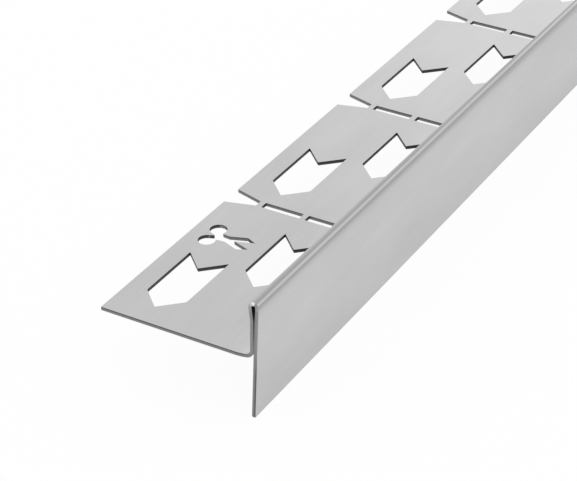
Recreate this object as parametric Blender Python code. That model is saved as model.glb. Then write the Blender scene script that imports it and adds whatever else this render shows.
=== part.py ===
"""Slope wedge profile for the edge of a level-access shower floor, in brushed stainless sheet.

One strip of sheet makes the whole profile. A flat leg, which is bedded in the tile adhesive, bends up
into a riser. The riser folds back over itself in a tear-drop hem, and comes down again as the visible
face. The face gets deeper along the length, by the fall of the shower floor. The leg is punched with
arrows that point down the fall, with break-off rows and with a scissors mark in the first segment.

The profile is drawn as it is fitted: the leg's top at z = 0, its free edge at x = 0, its deep end at
y = 0. It is then set down on a level floor, where it stands on the deep end of its face and on the far
edge of its leg. Sizes are in metres.
"""
import math

import bmesh
import bpy
import numpy as np
from mathutils import Euler

# Sheet, length and fall
SHEET = 0.00115                 # thickness of the sheet
PITCH = 0.070                   # length of one segment of the leg, between two break-off rows
SEGMENTS = 14
FALL = 1 / 50                   # slope of the shower floor, by which the face gets deeper
DEEP_END = 0.02045              # face's depth below the leg's top at its deep end

# Section, measured on the fitted profile
LEG_WIDTH = 0.04954             # free edge of the leg to the near side of the riser
LEAD_RADIUS = 0.018             # inside radius of the leg's slow rise towards the bend
LEAD_ANGLE = math.radians(12.3)
BEND_RADIUS = 0.00174           # inside radius of the bend itself
TILE_DEPTH = 0.01815            # top of the leg to the top of the hem
RISER_LEAN = math.radians(1.5)  # the riser leans towards the face
FACE_LEAN = math.radians(2.85)  # the face hangs back towards the leg
PINCH_HEIGHT = 0.0120           # height where the riser leans away from the face again
PINCH_GAP = 0.00026             # between riser and face at that height
HEM_RADIUS = 0.0005             # inside radius of the tear drop

# Arrow windows, in two rows
ARROW_WIDTH = 0.0134
ARROW_LENGTH = 0.0292           # point to tips
ARROW_POINT = 0.0064            # depth of the point, and of the notch at the back
OUTER_ARROW_X = 0.0132          # middle of the row by the free edge
INNER_ARROW_X = 0.0324          # middle of the row by the riser
OUTER_ARROW_START = 0.0075      # start of the segment to the outer arrow's point
INNER_ARROW_END = 0.0109        # inner arrow's tips to the end of the segment

# Break-off rows: a notch in the free edge, then two slots with a bridge before each
SLOT_WIDTH = 0.0028
SLOT_LENGTH = 0.0133
BRIDGE = 0.0019
NOTCH_MOUTH = 0.0082            # width of the notch at the free edge
NOTCH_DEPTH = 0.0097

# Scissors mark, symmetrical about a line across the leg
SCISSORS_Y = 0.0481             # that line's distance from the deep end
LOOP_X = 0.0071                 # middles of the finger loops
LOOP_OFFSET = 0.0033            # from the line to the middle of a loop
LOOP_RADIUS = 0.0027
LOOP_OPENING = math.radians(24) # part of a loop that runs straight to the place where the loops meet
HANDLE_X = 0.0079               # that place
WAIST_X = 0.0100                # where a loop runs into the waist
WAIST_OFFSET = 0.00175
ROOT_X = 0.0122                 # where the waist runs into a blade
ROOT_OFFSET = 0.0016
HEEL_X = 0.0173                 # outer corner of a blade
HEEL_OFFSET = 0.0035
TIP_X = 0.0206
TIP_OFFSET = 0.0020
CROTCH_X = 0.0146               # where the blades part

# Steps that the round stretches are drawn with
LEAD_STEPS = 3
BEND_STEPS = 8
HEM_STEPS = 14
LOOP_STEPS = 12

LENGTH = PITCH * SEGMENTS
# At the shallow end the face stops a little above the leg's underside, so that the leg beds flat.
SHALLOW_END = DEEP_END - FALL * LENGTH
STANCE = math.atan((DEEP_END - SHEET) / LENGTH)     # how far the leg is tipped on a level floor


def arc(centre, radius, start, end, steps):
    """Points on an arc from one angle to another, both included."""
    angles = np.linspace(start, end, steps + 1)
    return np.column_stack((centre[0] + radius * np.cos(angles),
                            centre[1] + radius * np.sin(angles)))


def tangent_angle(centre, radius, point):
    """Angle, seen from the centre, where the line up from the point touches the circle's left side."""
    away = point - centre
    return math.atan2(away[1], away[0]) - math.acos(radius / np.hypot(*away))


def leg_bend():
    """Middle of the sheet where the leg turns up into the riser: a slow rise, then the bend."""
    lead_radius = LEAD_RADIUS + SHEET / 2
    bend_radius = BEND_RADIUS + SHEET / 2
    lead_end = LEAD_ANGLE - math.pi / 2
    lead = arc((0, LEAD_RADIUS), lead_radius, -math.pi / 2, lead_end, LEAD_STEPS)
    # Both arcs have the same direction where they meet, so the bend's middle is on the lead's radius.
    bend_middle = lead[-1] - bend_radius * np.array((math.cos(lead_end), math.sin(lead_end)))
    bend = arc(bend_middle, bend_radius, lead_end, -RISER_LEAN, BEND_STEPS)
    line = np.vstack((lead, bend[1:]))
    # The riser's near side is LEG_WIDTH from the free edge where the bend ends.
    return line + (LEG_WIDTH + SHEET / 2 * math.cos(RISER_LEAN) - line[-1, 0], 0)


def middle_line(face_depth):
    """Middle of the sheet in the section, from the leg's free edge to the lower edge of the face."""
    bend = leg_bend()
    riser_pinch = bend[-1] + (PINCH_HEIGHT - bend[-1, 1]) * np.array((math.tan(RISER_LEAN), 1))

    def on_face(z):
        """X of the face's middle, which is one straight line from the hem to the lower edge."""
        return riser_pinch[0] + SHEET + PINCH_GAP + (z - PINCH_HEIGHT) * math.tan(FACE_LEAN)

    hem_radius = HEM_RADIUS + SHEET / 2
    hem_z = TILE_DEPTH - SHEET - HEM_RADIUS
    hem_middle = np.array((on_face(hem_z) - hem_radius / math.cos(FACE_LEAN), hem_z))
    hem_start = tangent_angle(hem_middle, hem_radius, riser_pinch) % (2 * math.pi)
    hem = arc(hem_middle, hem_radius, hem_start, -FACE_LEAN, HEM_STEPS)

    # The lower edge is cut square to the face, so its outer corner is the lowest point.
    edge_z = -face_depth + SHEET / 2 * math.sin(FACE_LEAN)
    return np.vstack(((0, -SHEET / 2), bend, riser_pinch, hem, (on_face(edge_z), edge_z)))


def offset(line, distance):
    """The line moved sideways to its left, with mitred corners."""
    runs = np.diff(line, axis=0)
    runs /= np.linalg.norm(runs, axis=1)[:, None]
    before = np.vstack((runs[:1], runs))
    after = np.vstack((runs, runs[-1:]))
    left = np.column_stack((-(before + after)[:, 1], (before + after)[:, 0]))
    left /= np.linalg.norm(left, axis=1)[:, None]
    stretch = left[:, 1] * before[:, 0] - left[:, 0] * before[:, 1]
    return line + left * (distance / stretch)[:, None]


def arrow(middle_x, point_y):
    """Window shaped like a broad arrow: the point towards the deep end, a notch at the back."""
    half = ARROW_WIDTH / 2
    tips_y = point_y + ARROW_LENGTH
    return [(middle_x, point_y),
            (middle_x + half, point_y + ARROW_POINT),
            (middle_x + half, tips_y),
            (middle_x, tips_y - ARROW_POINT),
            (middle_x - half, tips_y),
            (middle_x - half, point_y + ARROW_POINT)]


def slot(start_x, row_y):
    half = SLOT_WIDTH / 2
    end_x = start_x + SLOT_LENGTH
    return [(start_x, row_y - half), (end_x, row_y - half), (end_x, row_y + half), (start_x, row_y + half)]


def edge_notch(row_y):
    """Notch in the free edge, drawn on past the edge so that the cut is clean."""
    flare = (NOTCH_MOUTH - SLOT_WIDTH) / 2 / NOTCH_DEPTH
    past = -SHEET
    mouth = NOTCH_MOUTH / 2 - past * flare
    throat = SLOT_WIDTH / 2
    return [(past, row_y - mouth), (NOTCH_DEPTH, row_y - throat),
            (NOTCH_DEPTH, row_y + throat), (past, row_y + mouth)]


def scissors():
    """Open scissors as one window: two filled finger loops, a waist and two blades."""
    toward_handle = math.atan2(-LOOP_OFFSET, HANDLE_X - LOOP_X)
    toward_waist = math.atan2(WAIST_OFFSET - LOOP_OFFSET, WAIST_X - LOOP_X)
    loop = arc((LOOP_X, LOOP_OFFSET), LOOP_RADIUS,
               toward_handle - LOOP_OPENING, toward_waist - 2 * math.pi, LOOP_STEPS)
    half = [(HANDLE_X, 0), *loop, (WAIST_X, WAIST_OFFSET), (ROOT_X, ROOT_OFFSET),
            (HEEL_X, HEEL_OFFSET), (TIP_X, TIP_OFFSET), (CROTCH_X, 0)]
    mirrored = [(x, -y) for x, y in half[-2:0:-1]]
    return [(x, SCISSORS_Y + y) for x, y in half + mirrored]


def windows():
    """Outlines of everything that is punched out of the leg."""
    outlines = [scissors()]
    for segment in range(SEGMENTS):
        start = segment * PITCH
        end = start + PITCH
        outlines.append(arrow(OUTER_ARROW_X, start + OUTER_ARROW_START))
        outlines.append(arrow(INNER_ARROW_X, end - INNER_ARROW_END - ARROW_LENGTH))
    for row in range(1, SEGMENTS):
        first_slot_x = NOTCH_DEPTH + BRIDGE
        outlines.append(edge_notch(row * PITCH))
        outlines.append(slot(first_slot_x, row * PITCH))
        outlines.append(slot(first_slot_x + SLOT_LENGTH + BRIDGE, row * PITCH))
    return outlines


def add_prism(mesh, outline, bottom, top):
    """Upright prism on an outline that runs either way round."""
    points = np.array(outline)
    following = np.roll(points, -1, axis=0)
    if np.sum(points[:, 0] * following[:, 1] - following[:, 0] * points[:, 1]) < 0:
        points = points[::-1]
    lower = [mesh.verts.new((x, y, bottom)) for x, y in points]
    upper = [mesh.verts.new((x, y, top)) for x, y in points]
    mesh.faces.new(lower[::-1])
    mesh.faces.new(upper)
    for i, vert in enumerate(lower):
        j = (i + 1) % len(lower)
        mesh.faces.new((vert, lower[j], upper[j], upper[i]))


def section_loop(mesh, face_depth, y):
    """The section's closed outline at one end, as two rows of points that face each other."""
    middle = middle_line(face_depth)
    inner = [mesh.verts.new((x, y, z)) for x, z in offset(middle, SHEET / 2)]
    outer = [mesh.verts.new((x, y, z)) for x, z in offset(middle, -SHEET / 2)]
    return inner, outer


def folded_sheet():
    """The folded strip before punching, as a loft between its two end sections."""
    mesh = bmesh.new()
    deep = section_loop(mesh, DEEP_END, 0)
    shallow = section_loop(mesh, SHALLOW_END, LENGTH)
    for inner, outer in (deep, shallow):
        for i in range(len(inner) - 1):
            mesh.faces.new((inner[i], inner[i + 1], outer[i + 1], outer[i]))
    deep_loop = deep[0] + deep[1][::-1]
    shallow_loop = shallow[0] + shallow[1][::-1]
    for i, vert in enumerate(deep_loop):
        j = (i + 1) % len(deep_loop)
        mesh.faces.new((vert, deep_loop[j], shallow_loop[j], shallow_loop[i]))
    bmesh.ops.recalc_face_normals(mesh, faces=mesh.faces)
    return mesh


def to_object(mesh, name):
    data = bpy.data.meshes.new(name)
    mesh.to_mesh(data)
    mesh.free()
    made = bpy.data.objects.new(name, data)
    bpy.context.scene.collection.objects.link(made)
    return made


def stainless_steel():
    """Brushed stainless steel, grain along the length."""
    material = bpy.data.materials.new("brushed_stainless_steel")
    material.use_nodes = True
    shader = material.node_tree.nodes["Principled BSDF"]
    shader.inputs["Base Color"].default_value = (0.56, 0.56, 0.56, 1)
    shader.inputs["Metallic"].default_value = 1.0
    shader.inputs["Roughness"].default_value = 0.34
    return material


def punch_tool():
    """All the windows as one cutter that passes through the leg."""
    mesh = bmesh.new()
    for outline in windows():
        add_prism(mesh, outline, -2 * SHEET, SHEET)
    tool = to_object(mesh, "punch_tool")
    tool.hide_render = True
    tool.display_type = "WIRE"
    return tool


def set_down(profile, tool):
    """Stand the profile on its face's deep end and the leg's far edge, centred over the origin."""
    turn = Euler((-STANCE, 0, 0))
    turned = np.array([turn.to_matrix() @ vert.co for vert in profile.data.vertices])
    low = turned.min(axis=0)
    high = turned.max(axis=0)
    place = (-(low[0] + high[0]) / 2, -(low[1] + high[1]) / 2, -low[2])
    for item in (profile, tool):
        item.rotation_euler = turn
        item.location = place


for old in list(bpy.data.objects):
    bpy.data.objects.remove(old)

profile = to_object(folded_sheet(), "slope_profile")
profile.data.shade_smooth()
profile.data.set_sharp_from_angle(angle=math.radians(30))
profile.data.materials.append(stainless_steel())

tool = punch_tool()
punching = profile.modifiers.new("punching", "BOOLEAN")
punching.operation = "DIFFERENCE"
punching.object = tool
set_down(profile, tool)
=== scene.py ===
import math

import bpy
import numpy as np
from mathutils import Matrix, Vector


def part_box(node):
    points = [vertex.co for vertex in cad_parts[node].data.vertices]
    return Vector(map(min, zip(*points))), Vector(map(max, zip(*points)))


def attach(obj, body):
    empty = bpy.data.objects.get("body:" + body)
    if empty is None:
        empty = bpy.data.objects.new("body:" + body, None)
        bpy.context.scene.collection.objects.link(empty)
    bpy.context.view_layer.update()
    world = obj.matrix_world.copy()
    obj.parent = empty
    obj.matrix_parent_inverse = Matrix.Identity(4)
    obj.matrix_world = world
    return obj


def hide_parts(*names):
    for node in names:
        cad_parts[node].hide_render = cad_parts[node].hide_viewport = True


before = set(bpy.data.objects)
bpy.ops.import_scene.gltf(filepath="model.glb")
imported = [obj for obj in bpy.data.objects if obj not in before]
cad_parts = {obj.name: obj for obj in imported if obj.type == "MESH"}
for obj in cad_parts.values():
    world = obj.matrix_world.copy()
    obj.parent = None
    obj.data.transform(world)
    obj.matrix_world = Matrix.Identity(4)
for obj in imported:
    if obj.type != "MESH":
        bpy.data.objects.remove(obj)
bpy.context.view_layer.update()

# The folded strip
# The whole profile is one strip of stainless sheet: a flat leg, a bend up into the riser, a tear-drop hem
# at the top, and the tapered face that hangs back down in front of the riser. It is slit from the coil,
# punched flat, and then folded on a press.
SHEET = 0.00115                 # thickness of the sheet, and all sizes are in metres
PITCH = 0.070                   # one segment of the leg
SEGMENTS = 14
LENGTH = PITCH * SEGMENTS
FALL = 1 / 50                   # of the shower floor, which the face's lower edge follows
DEEP_END = 0.02045              # depth of the face below the leg's top
SHALLOW_END = DEEP_END - FALL * LENGTH
LEG_WIDTH = 0.04954             # free edge to the riser
LEAD_RADIUS = 0.018             # the leg's slow rise towards the bend
LEAD_ANGLE = math.radians(12.3)
BEND_RADIUS = 0.00174
TILE_DEPTH = 0.01815            # leg's top to the top of the hem
RISER_LEAN = math.radians(1.5)  # from upright, as the face's lean
FACE_LEAN = math.radians(2.85)
PINCH_HEIGHT = 0.0120           # where the riser leans away from the face again
PINCH_GAP = 0.00026
PINCH_REACH = 0.0009            # the sheet turns over this length on each side of the pinch
HEM_RADIUS = 0.0005
HEM_DRAW = 0.00025              # the stretched outer side of the hem draws back from the cut end
LEAD_STEPS = 12
BEND_STEPS = 24
CREASE_STEPS = 6
HEM_STEPS = 36
SEEN_SIDE, HIDDEN_SIDE, CUT_EDGE, TORN_WALL, CLEAN_WALL = range(5)     # places of the sheet's materials


def arc(centre, radius, start, end, steps):
    """Points on an arc: the centre, plus the radius times the cosine and sine of evenly spaced angles."""
    angles = np.linspace(start, end, steps + 1)
    return np.column_stack((centre[0] + radius * np.cos(angles), centre[1] + radius * np.sin(angles)))


def touch_angle(centre, radius, point):
    """Angle at which a line up from the point touches the left of a circle: the point's own angle, less
    the arc cosine of the radius over its distance."""
    away = point - centre
    return math.atan2(away[1], away[0]) - math.acos(radius / np.hypot(*away))


def crease(before, corner, after):
    """Rounded crease: a quadratic curve that leaves one run and joins the next at PINCH_REACH."""
    start = corner + (before - corner) / np.linalg.norm(before - corner) * PINCH_REACH
    end = corner + (after - corner) / np.linalg.norm(after - corner) * PINCH_REACH
    t = np.linspace(0, 1, CREASE_STEPS + 1)[:, None]
    return (1 - t) ** 2 * start + 2 * t * (1 - t) * corner + t ** 2 * end


def middle_runs(face_depth):
    """Middle of the sheet in the fitted profile's section, free edge of the leg first, as its runs: leg
    edge, slow rise and bend, crease of the riser, hem, lower edge of the face. The rise and the bend are
    arcs with one direction where they meet. The face is one straight line that touches the hem's arc."""
    lead_end = LEAD_ANGLE - math.pi / 2
    lead = arc((0, LEAD_RADIUS), LEAD_RADIUS + SHEET / 2, -math.pi / 2, lead_end, LEAD_STEPS)
    bend_radius = BEND_RADIUS + SHEET / 2
    bend_middle = lead[-1] - bend_radius * np.array((math.cos(lead_end), math.sin(lead_end)))
    bend = np.vstack((lead, arc(bend_middle, bend_radius, lead_end, -RISER_LEAN, BEND_STEPS)[1:]))
    bend += (LEG_WIDTH + SHEET / 2 * math.cos(RISER_LEAN) - bend[-1, 0], 0)
    pinch = bend[-1] + (PINCH_HEIGHT - bend[-1, 1]) * np.array((math.tan(RISER_LEAN), 1))

    hem_radius = HEM_RADIUS + SHEET / 2
    hem_z = TILE_DEPTH - SHEET - HEM_RADIUS
    edge_z = -face_depth + SHEET / 2 * math.sin(FACE_LEAN)
    on_face = pinch[0] + SHEET + PINCH_GAP + (np.array((hem_z, edge_z)) - PINCH_HEIGHT) * math.tan(FACE_LEAN)
    hem_middle = np.array((on_face[0] - hem_radius / math.cos(FACE_LEAN), hem_z))
    hem_start = touch_angle(hem_middle, hem_radius, pinch) % (2 * math.pi)
    hem = arc(hem_middle, hem_radius, hem_start, -FACE_LEAN, HEM_STEPS)
    return [np.array([[0, -SHEET / 2]]), bend, crease(bend[-1], pinch, hem[0]), hem,
            np.array([[on_face[1], edge_z]])]


def offset(line, distance):
    """The line moved to its left by the distance, along the mean normal at each point, lengthened so
    that the runs stay parallel."""
    runs = np.diff(line, axis=0)
    runs /= np.linalg.norm(runs, axis=1)[:, None]
    before = np.vstack((runs[:1], runs))
    after = np.vstack((runs, runs[-1:]))
    left = np.column_stack((-(before + after)[:, 1], (before + after)[:, 0]))
    left /= np.linalg.norm(left, axis=1)[:, None]
    stretch = left[:, 1] * before[:, 0] - left[:, 0] * before[:, 1]
    return line + left * (distance / stretch)[:, None]


def flat_distance(line):
    """Distance along the line from its start: the place across the strip before it was folded."""
    return np.concatenate(([0], np.cumsum(np.linalg.norm(np.diff(line, axis=0), axis=1))))


deep_runs = middle_runs(DEEP_END)
ACROSS = flat_distance(np.vstack(deep_runs))
FLAT_WIDTH = ACROSS[-1]
RUN_ENDS = np.cumsum([len(run) for run in deep_runs])
HEM_ACROSS = ACROSS[RUN_ENDS[2]], ACROSS[RUN_ENDS[3] - 1]
CROWN_ACROSS = sum(HEM_ACROSS) / 2


def ring(face_depth, y, inward):
    """Closed outline of the section at one end: seen side out, hidden side back. On the hem the seen
    side is drawn inward by HEM_DRAW times the sine of its share of the half turn."""
    middle = np.vstack(middle_runs(face_depth))
    place = (ACROSS - HEM_ACROSS[0]) / (HEM_ACROSS[1] - HEM_ACROSS[0])
    drawn = HEM_DRAW * np.sin(math.pi * np.clip(place, 0, 1))
    seen = np.insert(offset(middle, SHEET / 2), 1, y + inward * drawn, axis=1)
    hidden = np.insert(offset(middle, -SHEET / 2), 1, y, axis=1)
    return np.vstack((seen, hidden[::-1]))


def corner_index(mesh):
    """The vertex number at each corner of the mesh's faces."""
    corners = np.empty(len(mesh.loops), dtype=np.int32)
    mesh.loops.foreach_get("vertex_index", corners)
    return corners


def strip_mesh():
    """The folded strip as a loft between the deep end's ring and the shallow end's. UV map flat_strip is
    the place across and along the flat strip. UV map cut_face is the place along a cut, and the depth
    through the sheet from the seen side. All are in metres."""
    rings = np.stack((ring(DEEP_END, 0, 1), ring(SHALLOW_END, LENGTH, -1)))
    count = rings.shape[1]
    half = count // 2
    here = np.arange(count)
    after = np.roll(here, -1)
    walls = np.column_stack((here, after, after + count, here + count))
    rungs = np.arange(half - 1)
    cap = np.column_stack((rungs, count - 1 - rungs, count - 2 - rungs, rungs + 1))
    faces = np.vstack((walls[:, ::-1], cap[:, ::-1], cap + count))
    mesh = bpy.data.meshes.new("folded_sheet")
    mesh.from_pydata(rings.reshape(-1, 3), (), faces.tolist())

    # The last wall of each half is a slit edge.
    slots = np.repeat((SEEN_SIDE, HIDDEN_SIDE, CUT_EDGE), (half, half, 2 * len(cap)))
    slots[[half - 1, count - 1]] = CUT_EDGE
    mesh.polygons.foreach_set("material_index", slots.astype(np.int32))

    corners = corner_index(mesh)
    on_wall = np.arange(len(corners)) < walls.size
    across = np.tile(np.concatenate((ACROSS, ACROSS[::-1])), 2)[corners]
    along = rings.reshape(-1, 3)[corners, 1]
    depth = np.tile(np.repeat((0, SHEET), half), 2)[corners]
    flat_strip = mesh.uv_layers.new(name="flat_strip")
    flat_strip.data.foreach_set("uv", np.column_stack((across, along)).ravel())
    # On a slit edge the place along the cut is counted on from the strip's width.
    cut_face = mesh.uv_layers.new(name="cut_face")
    cut_along = np.where(on_wall, FLAT_WIDTH + along, across)
    cut_face.data.foreach_set("uv", np.column_stack((cut_along, depth)).ravel())
    return mesh


# Windows in the leg
# The leg is punched before it is folded: two rows of arrows that let the adhesive through and point
# down the fall, break-off rows between the segments, and one scissors mark by the deep end.
ARROW_WIDTH = 0.0134
ARROW_LENGTH = 0.0292
ARROW_POINT = 0.0064
# The arrows' points, across the leg and along the segment.
OUTER_ARROW = np.array((0.0132, 0.0075))
INNER_ARROW = np.array((0.0324, 0.0299))
SLOT_WIDTH = 0.0028
SLOT_LENGTH = 0.0133
BRIDGE = 0.0019                 # what is left between the notch and the slots
NOTCH_MOUTH = 0.0082
NOTCH_DEPTH = 0.0097
# One half of the scissors, across the leg and along from the line that they are mirrored in.
SCISSORS_Y = 0.0481
LOOP_MIDDLE = (0.0071, 0.0033)
LOOP_RADIUS = 0.0027
LOOP_OPENING = math.radians(24)
HANDLE = (0.0079, 0)
WAIST = (0.0100, 0.00175)
ROOT = (0.0122, 0.0016)
HEEL = (0.0173, 0.0035)
TIP = (0.0206, 0.0020)
CROTCH = (0.0146, 0)
LOOP_STEPS = 28
TOOL_CORNER = 0.00025           # radius that the punch leaves in a window's corners
CORNER_STEPS = 6
PUNCH_TOP = SHEET               # the punch goes right through the leg, whose top is at zero
PUNCH_FOOT = -2 * SHEET
CLEAN_TURN = 2.5                # a narrow window's wall is clean if it runs this much more across than along


def rounded(outline):
    """The outline with each corner turned into a quadratic curve that starts and ends TOOL_CORNER away
    from it, or a third of the way along a short side."""
    corner = np.asarray(outline, dtype=float)
    to_before = np.roll(corner, 1, axis=0) - corner
    to_after = np.roll(corner, -1, axis=0) - corner
    before_length = np.linalg.norm(to_before, axis=1)[:, None]
    after_length = np.linalg.norm(to_after, axis=1)[:, None]
    start = corner + to_before / before_length * np.minimum(TOOL_CORNER, before_length / 3)
    end = corner + to_after / after_length * np.minimum(TOOL_CORNER, after_length / 3)
    t = np.linspace(0, 1, CORNER_STEPS)[None, :, None]
    curve = (1 - t) ** 2 * start[:, None] + 2 * t * (1 - t) * corner[:, None] + t ** 2 * end[:, None]
    return curve.reshape(-1, 2)


def arrow_window(point):
    """Arrow from its point up the strip: half its width to each side, its shoulders ARROW_POINT up from the
    point, and its tail's notch as deep as that."""
    half = ARROW_WIDTH / 2
    outline = np.array(((0, 0), (half, ARROW_POINT), (half, ARROW_LENGTH), (0, ARROW_LENGTH - ARROW_POINT),
                        (-half, ARROW_LENGTH), (-half, ARROW_POINT)))
    return rounded(point + outline)


def slot_window(start_x, row_y):
    """Rectangle across the leg from its start, half its width to each side of the row."""
    half = SLOT_WIDTH / 2
    outline = np.array(((0, -half), (SLOT_LENGTH, -half), (SLOT_LENGTH, half), (0, half)))
    return rounded(outline + (start_x, row_y))


def notch_window(row_y):
    """Notch in the free edge, drawn on past the edge by the sheet's thickness, along the same flare."""
    past = -SHEET
    mouth = NOTCH_MOUTH / 2 - past * (NOTCH_MOUTH - SLOT_WIDTH) / 2 / NOTCH_DEPTH
    throat = SLOT_WIDTH / 2
    outline = np.array(((past, -mouth), (NOTCH_DEPTH, -throat), (NOTCH_DEPTH, throat), (past, mouth)))
    return rounded(outline + (0, row_y))


def scissors_window():
    """Two filled finger loops, a waist and two open blades, mirrored about a line across the leg."""
    toward_handle = math.atan2(HANDLE[1] - LOOP_MIDDLE[1], HANDLE[0] - LOOP_MIDDLE[0])
    toward_waist = math.atan2(WAIST[1] - LOOP_MIDDLE[1], WAIST[0] - LOOP_MIDDLE[0])
    loop = arc(LOOP_MIDDLE, LOOP_RADIUS, toward_handle - LOOP_OPENING, toward_waist - 2 * math.pi,
               LOOP_STEPS)
    half = np.vstack((HANDLE, loop, WAIST, ROOT, HEEL, TIP, CROTCH))
    mirrored = half[-2:0:-1] * (1, -1)
    return rounded(np.vstack((half, mirrored)) + (0, SCISSORS_Y))


def arrow_windows():
    """An arrow of each row in every segment."""
    outlines = []
    for segment in range(SEGMENTS):
        start = np.array((0, segment * PITCH))
        outlines += [arrow_window(start + OUTER_ARROW), arrow_window(start + INNER_ARROW)]
    return outlines


def break_off_windows():
    """A notch and two slots in each row between two segments."""
    first_slot = NOTCH_DEPTH + BRIDGE
    second_slot = first_slot + SLOT_LENGTH + BRIDGE
    outlines = []
    for row_y in PITCH * np.arange(1, SEGMENTS):
        outlines += [notch_window(row_y), slot_window(first_slot, row_y), slot_window(second_slot, row_y)]
    return outlines


def punch_mesh():
    """Upright prisms: each outline at two heights, with a wall face between each pair of points. The
    walls carry the strip's UV maps, with the place along a cut as the distance round the window."""
    arrows = arrow_windows()
    points = []
    faces = []
    slots = []
    round_window = []
    for number, outline in enumerate([*arrows, scissors_window(), *break_off_windows()]):
        following = np.roll(outline, -1, axis=0)
        area = np.sum(outline[:, 0] * following[:, 1] - following[:, 0] * outline[:, 1])
        turned = outline if area > 0 else outline[::-1]
        lower = sum(map(len, points)) + np.arange(len(turned))
        upper = lower + len(turned)
        points += [np.insert(turned, 2, height, axis=1) for height in (PUNCH_FOOT, PUNCH_TOP)]
        walls = np.column_stack((lower, np.roll(lower, -1), np.roll(upper, -1), upper))
        faces += [lower[::-1].tolist(), upper.tolist(), *walls.tolist()]
        # All of an arrow's walls are torn. A narrow window's are torn where they run along or aslant.
        across, along = np.abs(np.roll(turned, -1, axis=0) - turned).T
        torn = (across < CLEAN_TURN * along) | (number < len(arrows))
        slots += [TORN_WALL, TORN_WALL, *np.where(torn, TORN_WALL, CLEAN_WALL).tolist()]
        round_window += [FLAT_WIDTH + flat_distance(turned)] * 2
    points = np.vstack(points)
    mesh = bpy.data.meshes.new("punch")
    mesh.from_pydata(points, (), faces)
    mesh.polygons.foreach_set("material_index", np.array(slots, dtype=np.int32))
    corners = corner_index(mesh)
    flat_strip = mesh.uv_layers.new(name="flat_strip")
    flat_strip.data.foreach_set("uv", points[corners, :2].ravel())
    cut_face = mesh.uv_layers.new(name="cut_face")
    cut_places = np.column_stack((np.concatenate(round_window), -points[:, 2]))
    cut_face.data.foreach_set("uv", cut_places[corners].ravel())
    return mesh


# Satin steel of the seen side
# Stainless steel, ground to a fine satin with the grain along the length. To the eye it is a pale, even
# grey. Its colour carries painted shade: two dark bands on the hem, the leg a little darker, and the face
# darker towards its lower edge. A painted highlight line runs on the hem between the two bands. The darker
# places are also rougher.
MM = 0.001
SATIN_GREY = "C9C9C9"
# Painted shade and highlight across the strip, by the distance from the hem's crown towards the face. The
# leg is at one end and the face's lower edge at the other. The leg is painted a little darker. The hem has
# two bands of painted shade with a painted highlight line between them. The face is painted darker towards
# its lower edge. Over the bend up from the leg the tone is a little lighter.
LEG_SHADE_TONE = 0.93
STRIP_SHADE_AND_HIGHLIGHT = ((-26.0 * MM, LEG_SHADE_TONE), (-21.0 * MM, 0.98), (-19.0 * MM, 1.05), (-15.0 * MM, 0.96),
               (-1.0 * MM, 0.96), (-0.30 * MM, 0.83), (0.05 * MM, 0.71), (0.40 * MM, 0.61),
               (0.72 * MM, 0.61), (0.84 * MM, 0.93), (1.00 * MM, 1.08), (1.16 * MM, 0.95),
               (1.34 * MM, 0.64), (1.55 * MM, 0.64), (1.80 * MM, 0.78), (2.40 * MM, 0.87),
               (3.40 * MM, 0.95), (5.00 * MM, 0.98), (10.0 * MM, 1.00), (15.0 * MM, 1.00),
               (21.0 * MM, 0.985), (26.0 * MM, 0.965), (35.0 * MM, 0.95))
# The hem's painted shade and highlight shift by this much to one side and back along the length, in one wave
# of this length from this place.
HEM_SHADE_SHIFT = 0.68 * MM
HEM_SHADE_SHIFT_LENGTH = 1.1
HEM_SHADE_SHIFT_START = 0.015
# Width and length of each pattern. Real grit lines are 0.05 mm wide, too fine to show, so the grain is drawn
# coarser. Clouds come from rolling and pickling. Of the hairline pattern only the peaks show, as handling
# scratches about 0.3 mm wide and 6 mm long.
GRAIN_SIZE = (0.3 * MM, 35 * MM)
CLOUD_SIZE = (14 * MM, 40 * MM)
HAIRLINE_SIZE = (0.7 * MM, 9 * MM)
CLOUD_START = (17, 5, 0)
HAIRLINE_START = (7, 3, 0)
# Most values of a noise pattern lie between these two. The grain's lie a little wider.
NOISE_RANGE = {"From Min": 0.3, "From Max": 0.7}
GRAIN_RANGE = {"From Min": 0.2, "From Max": 0.8}
HAIRLINE_PEAKS = {"From Min": 0.76, "From Max": 0.84}
GRAIN_TONES = {"To Min": 0.965, "To Max": 1.035}
CLOUD_TONES = {"To Min": -0.03, "To Max": 0.03}
HAIRLINE_TONES = {"To Min": 0, "To Max": 0.05}
# The darkest places are the dullest.
DULL_TONES = {"From Min": 0.60, "From Max": 1.05}
DULL_ROUGHNESS = {"To Min": 0.46, "To Max": 0.30}
GRAIN_STRETCH = 0.5             # how far the grain draws reflections out


def linear(hex_colour):
    """An sRGB hex colour as linear light, by the sRGB transfer curve."""
    shown = np.array([int(hex_colour[i:i + 2], 16) / 255 for i in (0, 2, 4)])
    light = np.where(shown <= 0.04045, shown / 12.92, ((shown + 0.055) / 1.055) ** 2.4)
    return (*light.tolist(), 1)


def add(tree, kind, inputs=(), stops=(), **settings):
    """Adds a node: its settings, then each input as a value or as the socket that feeds it. A colour ramp's
    own stops are replaced by pairs of place from 0 to 1 and linear colour."""
    made = tree.nodes.new(kind)
    for name, value in settings.items():
        setattr(made, name, value)
    for name, value in dict(inputs).items():
        if isinstance(value, bpy.types.NodeSocket):
            tree.links.new(value, made.inputs[name])
        else:
            made.inputs[name].default_value = value
    if stops:
        elements = made.color_ramp.elements
        elements.remove(elements[1])
        elements[0].position, elements[0].color = stops[0]
        for position, colour in stops[1:]:
            elements.new(position).color = colour
    return made


def new_metal(name):
    """A metal's material, with its node tree and its shader."""
    material = bpy.data.materials.new(name)
    material.use_nodes = True
    tree = material.node_tree
    shader = tree.nodes["Principled BSDF"]
    shader.inputs["Metallic"].default_value = 1
    return material, tree, shader


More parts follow.
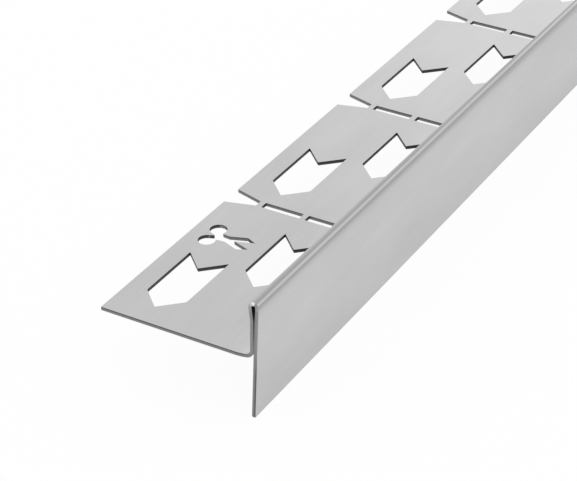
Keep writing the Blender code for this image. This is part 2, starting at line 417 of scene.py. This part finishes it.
def per_metre(size):
    """How often a pattern of this width and length repeats in a metre."""
    return 1 / size[0], 1 / size[1], 1


def across_strip(parts):
    """Ramp stops across the flat strip, from pairs of distance from the hem's crown and part from 0 to 1."""
    return [((CROWN_ACROSS + far) / FLAT_WIDTH, (part, part, part, 1)) for far, part in parts]


def satin_ground_steel():
    """Grain, clouds and hairline scratches as one tone, times the painted shade and highlight across the
    strip.
    """
    material, tree, shader = new_metal("satin_ground_steel")
    flat = add(tree, "ShaderNodeUVMap", uv_map="flat_strip").outputs["UV"]
    lines = add(tree, "ShaderNodeMapping", {"Vector": flat, "Scale": per_metre(GRAIN_SIZE)})
    grain = add(tree, "ShaderNodeTexNoise", {"Vector": lines.outputs[0], "Scale": 1, "Detail": 2})
    grain_tone = add(tree, "ShaderNodeMapRange", {"Value": grain.outputs["Fac"], **GRAIN_RANGE,
                                                  **GRAIN_TONES})
    wide = add(tree, "ShaderNodeMapping", {"Vector": flat, "Location": CLOUD_START,
                                           "Scale": per_metre(CLOUD_SIZE)})
    clouds = add(tree, "ShaderNodeTexNoise", {"Vector": wide.outputs[0], "Scale": 1, "Detail": 2})
    cloud_tone = add(tree, "ShaderNodeMapRange", {"Value": clouds.outputs["Fac"], **NOISE_RANGE,
                                                  **CLOUD_TONES})
    long = add(tree, "ShaderNodeMapping", {"Vector": flat, "Location": HAIRLINE_START,
                                           "Scale": per_metre(HAIRLINE_SIZE)})
    marks = add(tree, "ShaderNodeTexNoise", {"Vector": long.outputs[0], "Scale": 1, "Detail": 0})
    hairlines = add(tree, "ShaderNodeMapRange", {"Value": marks.outputs["Fac"], **HAIRLINE_PEAKS,
                                                 **HAIRLINE_TONES})

    # The painted shade and highlight across the strip, shifted to and fro along it by a sine wave.
    place = add(tree, "ShaderNodeSeparateXYZ", {"Vector": flat})
    from_start = add(tree, "ShaderNodeMath", {0: place.outputs["Y"], 1: HEM_SHADE_SHIFT_START},
                     operation="SUBTRACT")
    turn = add(tree, "ShaderNodeMath", {0: from_start.outputs[0], 1: 2 * math.pi / HEM_SHADE_SHIFT_LENGTH},
               operation="MULTIPLY")
    wave = add(tree, "ShaderNodeMath", {0: turn.outputs[0]}, operation="SINE")
    shifted_place = add(tree, "ShaderNodeMath", {0: wave.outputs[0], 1: HEM_SHADE_SHIFT, 2: place.outputs["X"]},
                 operation="MULTIPLY_ADD")
    share = add(tree, "ShaderNodeMath", {0: shifted_place.outputs[0], 1: FLAT_WIDTH}, operation="DIVIDE")
    across = add(tree, "ShaderNodeValToRGB", {"Fac": share.outputs[0]}, across_strip(STRIP_SHADE_AND_HIGHLIGHT))

    tone = add(tree, "ShaderNodeMath", {0: grain_tone.outputs[0], 1: cloud_tone.outputs[0]}, operation="ADD")
    tone = add(tree, "ShaderNodeMath", {0: tone.outputs[0], 1: hairlines.outputs[0]}, operation="ADD")
    tone = add(tree, "ShaderNodeMath", {0: tone.outputs[0], 1: across.outputs[0]}, operation="MULTIPLY")
    colour = add(tree, "ShaderNodeVectorMath", {"Vector": linear(SATIN_GREY)[:3], "Scale": tone.outputs[0]},
                 operation="SCALE")
    dulled = add(tree, "ShaderNodeMapRange", {"Value": tone.outputs[0], **DULL_TONES, **DULL_ROUGHNESS})
    tangent = add(tree, "ShaderNodeTangent", direction_type="UV_MAP", uv_map="flat_strip")
    tree.links.new(colour.outputs[0], shader.inputs["Base Color"])
    tree.links.new(dulled.outputs[0], shader.inputs["Roughness"])
    tree.links.new(tangent.outputs[0], shader.inputs["Tangent"])
    shader.inputs["Anisotropic"].default_value = GRAIN_STRETCH
    return material


# Mill finish of the hidden side
# The back of the strip keeps the cold-rolled, pickled surface of the coil: smooth, a little darker than
# the ground side, and faintly cloudy with no grain.
MILL_GREY = "B4B4B3"
MILL_CLOUD_SIZE = (9 * MM, 22 * MM)
MILL_TONES = {"To Min": 0.94, "To Max": 1.05}
MILL_ROUGHNESS = {"To Min": 0.42, "To Max": 0.34}


def cold_rolled_steel():
    """Clouds from pickling, darker where they are rougher."""
    material, tree, shader = new_metal("cold_rolled_steel")
    flat = add(tree, "ShaderNodeUVMap", uv_map="flat_strip").outputs["UV"]
    wide = add(tree, "ShaderNodeMapping", {"Vector": flat, "Scale": per_metre(MILL_CLOUD_SIZE)})
    clouds = add(tree, "ShaderNodeTexNoise", {"Vector": wide.outputs[0], "Scale": 1, "Detail": 4})
    tone = add(tree, "ShaderNodeMapRange", {"Value": clouds.outputs["Fac"], **NOISE_RANGE, **MILL_TONES})
    colour = add(tree, "ShaderNodeVectorMath", {"Vector": linear(MILL_GREY)[:3], "Scale": tone.outputs[0]},
                 operation="SCALE")
    roughness = add(tree, "ShaderNodeMapRange", {"Value": clouds.outputs["Fac"], **NOISE_RANGE,
                                                 **MILL_ROUGHNESS})
    tree.links.new(colour.outputs[0], shader.inputs["Base Color"])
    tree.links.new(roughness.outputs[0], shader.inputs["Roughness"])
    return material


# Sheared ends and slit edges
# Shears and slitting rollers part the strip with a dark, rounded lip on the seen side and a dull grey tear
# below it. Where the strip was then folded tight, the cut is pressed paler and even, and painted shade
# darkens it towards the hidden side, beside the gap. A band of painted shade lines the hidden side by the
# hem's hollow and the gap, and on the hem's crown the cut carries a painted highlight.
TORN_GREYS = ((0.00 * MM, "5A5A5A"), (0.28 * MM, "666666"), (0.45 * MM, "7E7E7E"), (0.90 * MM, "929292"),
              (1.15 * MM, "A0A0A0"))
# The pressed cut, darker towards the hidden side with painted shade beside the gap.
PRESSED_SHADED_GREYS = ((0.00 * MM, "9C9C9C"), (0.55 * MM, "929292"), (1.15 * MM, "888888"))
# A painted highlight on the cut at the hem's crown.
CROWN_HIGHLIGHT_GREY = "F6F6F6"
# Painted shade along the hidden side, by the hem's hollow and the gap.
HOLLOW_SHADE_GREY = "303030"
# The share of the painted shade along the hidden side, through the sheet. Then the shares of the pressed
# cut, the painted highlight and the painted shade across the strip, by the distance from the hem's crown.
HOLLOW_SHADE_DEPTHS = ((1.00 * MM, 0), (1.05 * MM, 1))
PRESSED_SHARES = ((-21.0 * MM, 0), (-17.0 * MM, 1), (17.0 * MM, 1), (24.0 * MM, 0))
CROWN_HIGHLIGHT_SHARES = ((-4.0 * MM, 0), (-2.7 * MM, 0.10), (-1.5 * MM, 0.18), (-1.1 * MM, 0.36),
                  (-0.45 * MM, 0.55), (-0.22 * MM, 1), (0.22 * MM, 1), (0.42 * MM, 0), (1.1 * MM, 0),
                  (1.7 * MM, 0.14), (2.3 * MM, 0.10), (3.0 * MM, 0))
HOLLOW_SHADE_SHARES = ((-15.0 * MM, 0), (-9.0 * MM, 0.8), (-5.0 * MM, 1), (3.0 * MM, 1), (5.0 * MM, 0.3),
               (8.0 * MM, 0))
# The shears leave tear marks through the sheet. This is how far apart they are, and how long.
SHEAR_MARK_SIZE = (0.25 * MM, 1.5 * MM)
SHEAR_MARK_TONES = {"To Min": 0.92, "To Max": 1.08}
SHEARED_ROUGHNESS = 0.5


def through_sheet(greys):
    """Ramp stops through the sheet, from pairs of depth below the seen side and hex colour."""
    return [(far / SHEET, linear(grey)) for far, grey in greys]


def sheared_steel():
    """The torn cut, mixed with the pressed cut, then with the painted highlight and the painted shade by
    their shares.
    """
    material, tree, shader = new_metal("sheared_steel")
    cut = add(tree, "ShaderNodeUVMap", uv_map="cut_face").outputs["UV"]
    place = add(tree, "ShaderNodeSeparateXYZ", {"Vector": cut})
    depth = add(tree, "ShaderNodeMath", {0: place.outputs["Y"], 1: SHEET}, operation="DIVIDE")
    share = add(tree, "ShaderNodeMath", {0: place.outputs["X"], 1: FLAT_WIDTH}, operation="DIVIDE")
    torn = add(tree, "ShaderNodeValToRGB", {"Fac": depth.outputs[0]}, through_sheet(TORN_GREYS))
    pressed = add(tree, "ShaderNodeValToRGB", {"Fac": depth.outputs[0]}, through_sheet(PRESSED_SHADED_GREYS))
    pressing = add(tree, "ShaderNodeValToRGB", {"Fac": share.outputs[0]}, across_strip(PRESSED_SHARES))
    grey = add(tree, "ShaderNodeMix", {0: pressing.outputs[0], 6: torn.outputs[0], 7: pressed.outputs[0]},
               data_type="RGBA")
    crown_highlight = add(tree, "ShaderNodeValToRGB", {"Fac": share.outputs[0]}, across_strip(CROWN_HIGHLIGHT_SHARES))
    grey = add(tree, "ShaderNodeMix", {0: crown_highlight.outputs[0], 6: grey.outputs[2], 7: linear(CROWN_HIGHLIGHT_GREY)},
               data_type="RGBA")
    shade_depth = add(tree, "ShaderNodeValToRGB", {"Fac": depth.outputs[0]},
                     [(far / SHEET, (part, part, part, 1)) for far, part in HOLLOW_SHADE_DEPTHS])
    shade_share = add(tree, "ShaderNodeValToRGB", {"Fac": share.outputs[0]}, across_strip(HOLLOW_SHADE_SHARES))
    hollow_shade = add(tree, "ShaderNodeMath", {0: shade_depth.outputs[0], 1: shade_share.outputs[0]},
               operation="MULTIPLY")
    grey = add(tree, "ShaderNodeMix", {0: hollow_shade.outputs[0], 6: grey.outputs[2], 7: linear(HOLLOW_SHADE_GREY)},
               data_type="RGBA")

    marks = add(tree, "ShaderNodeMapping", {"Vector": cut, "Scale": per_metre(SHEAR_MARK_SIZE)})
    tears = add(tree, "ShaderNodeTexNoise", {"Vector": marks.outputs[0], "Scale": 1, "Detail": 2})
    tone = add(tree, "ShaderNodeMapRange", {"Value": tears.outputs["Fac"], **NOISE_RANGE,
                                            **SHEAR_MARK_TONES})
    colour = add(tree, "ShaderNodeVectorMath", {"Vector": grey.outputs[2], "Scale": tone.outputs[0]},
                 operation="SCALE")
    tree.links.new(colour.outputs[0], shader.inputs["Base Color"])
    shader.inputs["Roughness"].default_value = SHEARED_ROUGHNESS
    return material


# Punched walls
# The walls of an arrow are torn by the punch over most of their depth. They are dull, and their dark grey is
# partly painted shade inside the windows. All walls are painted lighter towards the underside, as light
# thrown up from the floor. The narrow tools of the slots, notches and scissors cut paler, cleaner walls
# where they run across the strip.
# Torn wall grey, partly painted shade inside the windows.
TORN_SHADED_GREY = "585858"
CLEAN_GREY = "868686"
THROUGH_SHEET = {"From Min": 0, "From Max": SHEET}
# Painted light: the walls lighter towards the underside, as light thrown up from the floor.
FLOOR_BOUNCE_TONES = {"To Min": 0.6, "To Max": 1.5}
# How far apart the tear marks are, and how long.
PUNCH_MARK_SIZE = (0.2 * MM, 1.5 * MM)
PUNCH_MARK_TONES = {"To Min": 0.8, "To Max": 1.2}
PUNCHED_ROUGHNESS = 0.6


def punched_steel(name, grey):
    """The grey times a painted light that rises through the sheet towards the underside, times the tone of
    the tear marks.
    """
    material, tree, shader = new_metal(name)
    cut = add(tree, "ShaderNodeUVMap", uv_map="cut_face").outputs["UV"]
    place = add(tree, "ShaderNodeSeparateXYZ", {"Vector": cut})
    bounce_tone = add(tree, "ShaderNodeMapRange", {"Value": place.outputs["Y"], **THROUGH_SHEET,
                                                  **FLOOR_BOUNCE_TONES})
    marks = add(tree, "ShaderNodeMapping", {"Vector": cut, "Scale": per_metre(PUNCH_MARK_SIZE)})
    tears = add(tree, "ShaderNodeTexNoise", {"Vector": marks.outputs[0], "Scale": 1, "Detail": 2})
    tear_tone = add(tree, "ShaderNodeMapRange", {"Value": tears.outputs["Fac"], **NOISE_RANGE,
                                                 **PUNCH_MARK_TONES})
    tone = add(tree, "ShaderNodeMath", {0: bounce_tone.outputs[0], 1: tear_tone.outputs[0]},
               operation="MULTIPLY")
    colour = add(tree, "ShaderNodeVectorMath", {"Vector": linear(grey)[:3], "Scale": tone.outputs[0]},
                 operation="SCALE")
    tree.links.new(colour.outputs[0], shader.inputs["Base Color"])
    shader.inputs["Roughness"].default_value = PUNCHED_ROUGHNESS
    return material


# The finished sheet
# The windows are cut out of the strip, and the strip is set down as it stands unheld: on the deep end
# of its face and the far edge of its leg. Handling has worn its sharp edges a little round.
STANCE = math.atan((DEEP_END - SHEET) / LENGTH)
WORN_EDGE = 0.07 * MM
WORN_EDGE_STEPS = 2
SHARP_EDGE = math.radians(35)   # an edge that turns by more than this is worn


def link_object(name, mesh):
    """A mesh as an object of the scene."""
    made = bpy.data.objects.new(name, mesh)
    bpy.context.scene.collection.objects.link(made)
    return made


def set_down(points):
    """Fitted profile to the floor: turned about X by the stance, then fitted to the CAD solid's box, from
    which its finer arcs differ by less than a hundredth of a millimetre."""
    turned = points @ np.array(Matrix.Rotation(-STANCE, 3, "X")).T
    low, high = np.array(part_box("slope_profile"))
    own_low = turned.min(axis=0)
    return low + (turned - own_low) * (high - low) / (turned.max(axis=0) - own_low)


def punched_sheet():
    """The strip less the punches, by a Boolean difference, set down on the floor."""
    strip = link_object("folded_sheet", strip_mesh())
    punch = link_object("punch", punch_mesh())
    # In the order of SEEN_SIDE to CLEAN_WALL.
    for material in (satin_ground_steel(), cold_rolled_steel(), sheared_steel(),
                     punched_steel("torn_steel", TORN_SHADED_GREY), punched_steel("clean_cut_steel", CLEAN_GREY)):
        strip.data.materials.append(material)
        punch.data.materials.append(material)
    cut = strip.modifiers.new("windows", "BOOLEAN")
    cut.operation = "DIFFERENCE"
    cut.object = punch
    evaluated = strip.evaluated_get(bpy.context.evaluated_depsgraph_get())
    mesh = bpy.data.meshes.new_from_object(evaluated)
    bpy.data.objects.remove(strip)
    bpy.data.objects.remove(punch)
    points = np.empty(len(mesh.vertices) * 3)
    mesh.vertices.foreach_get("co", points)
    mesh.vertices.foreach_set("co", set_down(points.reshape(-1, 3)).ravel())
    mesh.update()
    mesh.name = "punched_sheet"
    mesh.shade_smooth()
    return link_object("punched_sheet", mesh)


sheet = punched_sheet()
worn_edges = sheet.modifiers.new("worn_edges", "BEVEL")
worn_edges.width = WORN_EDGE
worn_edges.segments = WORN_EDGE_STEPS
worn_edges.limit_method = "ANGLE"
worn_edges.angle_limit = SHARP_EDGE
flat_faces = sheet.modifiers.new("flat_faces", "WEIGHTED_NORMAL")
flat_faces.keep_sharp = True
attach(sheet, "root")
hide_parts("slope_profile")

# Floor
# A plain white studio floor that the profile stands on. The camera and the steel see it as white, with
# a trace of the real shadow.
FLOOR_SIZE = 12
FLOOR_SHADOW = 0.05             # the share of the real shadow that the camera sees
GLOSS_SHADOW = 0.25             # the share that the steel mirrors
FLOOR_WHITE = "F4F4F4"


def white_floor_paint():
    """Plain paint, mixed with even white by how much of its shadow each kind of ray leaves out."""
    material = bpy.data.materials.new("white_floor_paint")
    material.use_nodes = True
    tree = material.node_tree
    tree.nodes.clear()
    path = add(tree, "ShaderNodeLightPath").outputs
    seen = add(tree, "ShaderNodeMath", {0: path["Is Camera Ray"], 1: path["Is Transmission Ray"]},
               operation="MAXIMUM")
    seen = add(tree, "ShaderNodeMath", {0: seen.outputs[0], 1: 1 - FLOOR_SHADOW}, operation="MULTIPLY")
    share = add(tree, "ShaderNodeMath", {0: path["Is Glossy Ray"], 1: 1 - GLOSS_SHADOW, 2: seen.outputs[0]},
                operation="MULTIPLY_ADD")
    paint = add(tree, "ShaderNodeBsdfDiffuse", {"Color": linear(FLOOR_WHITE)})
    white = add(tree, "ShaderNodeEmission", {"Color": (1, 1, 1, 1), "Strength": 1})
    both = add(tree, "ShaderNodeMixShader", {0: share.outputs[0], 1: paint.outputs[0], 2: white.outputs[0]})
    add(tree, "ShaderNodeOutputMaterial", {"Surface": both.outputs[0]})
    return material


floor_mesh = bpy.data.meshes.new("studio_floor")
floor_corners = np.array(((-1, -1, 0), (1, -1, 0), (1, 1, 0), (-1, 1, 0))) * FLOOR_SIZE / 2
floor_mesh.from_pydata(floor_corners, (), ((0, 1, 2, 3),))
floor_mesh.materials.append(white_floor_paint())
floor = link_object("studio_floor", floor_mesh)

# Light
# A white cove all round, and one large softbox beyond the shallow end, a little above the leg.
COVE_STRENGTH = 1
SOFTBOX_WIDTH = 1.1
SOFTBOX_HEIGHT = 0.8
SOFTBOX_WATTS = 1.3
SOFTBOX_PLACE = (-0.55, 1.72, 0.67)
SOFTBOX_AIM = (0, 0.3, 0)

world = bpy.data.worlds.new("white_cove")
bpy.context.scene.world = world
world.use_nodes = True
sky = world.node_tree.nodes["Background"]
sky.inputs["Color"].default_value = (1, 1, 1, 1)
sky.inputs["Strength"].default_value = COVE_STRENGTH

softbox_data = bpy.data.lights.new("softbox", "AREA")
softbox_data.shape = "RECTANGLE"
softbox_data.size = SOFTBOX_WIDTH
softbox_data.size_y = SOFTBOX_HEIGHT
softbox_data.energy = SOFTBOX_WATTS
softbox = bpy.data.objects.new("softbox", softbox_data)
softbox.location = SOFTBOX_PLACE
softbox.rotation_euler = (Vector(SOFTBOX_AIM) - softbox.location).to_track_quat("-Z", "Y").to_euler()
bpy.context.scene.collection.objects.link(softbox)

# Camera
# The photograph's own view, worked out from the pattern of the windows. The lens and the sensor are in
# millimetres, and the turns in degrees.
LENS = 141.402
SENSOR_WIDTH = 36
NEAREST_SEEN = 0.01
CAMERA_PLACE = (0.29444, -0.91217, 0.38733)
CAMERA_TURNS = (56.7197, 1.2869, 30.5682)

camera_data = bpy.data.cameras.new("camera")
camera_data.lens = LENS
camera_data.sensor_width = SENSOR_WIDTH
camera_data.clip_start = NEAREST_SEEN
camera = bpy.data.objects.new("camera", camera_data)
camera.location = CAMERA_PLACE
camera.rotation_euler = [math.radians(angle) for angle in CAMERA_TURNS]
bpy.context.scene.collection.objects.link(camera)
bpy.context.scene.camera = camera
bpy.context.scene.view_settings.view_transform = "Standard"
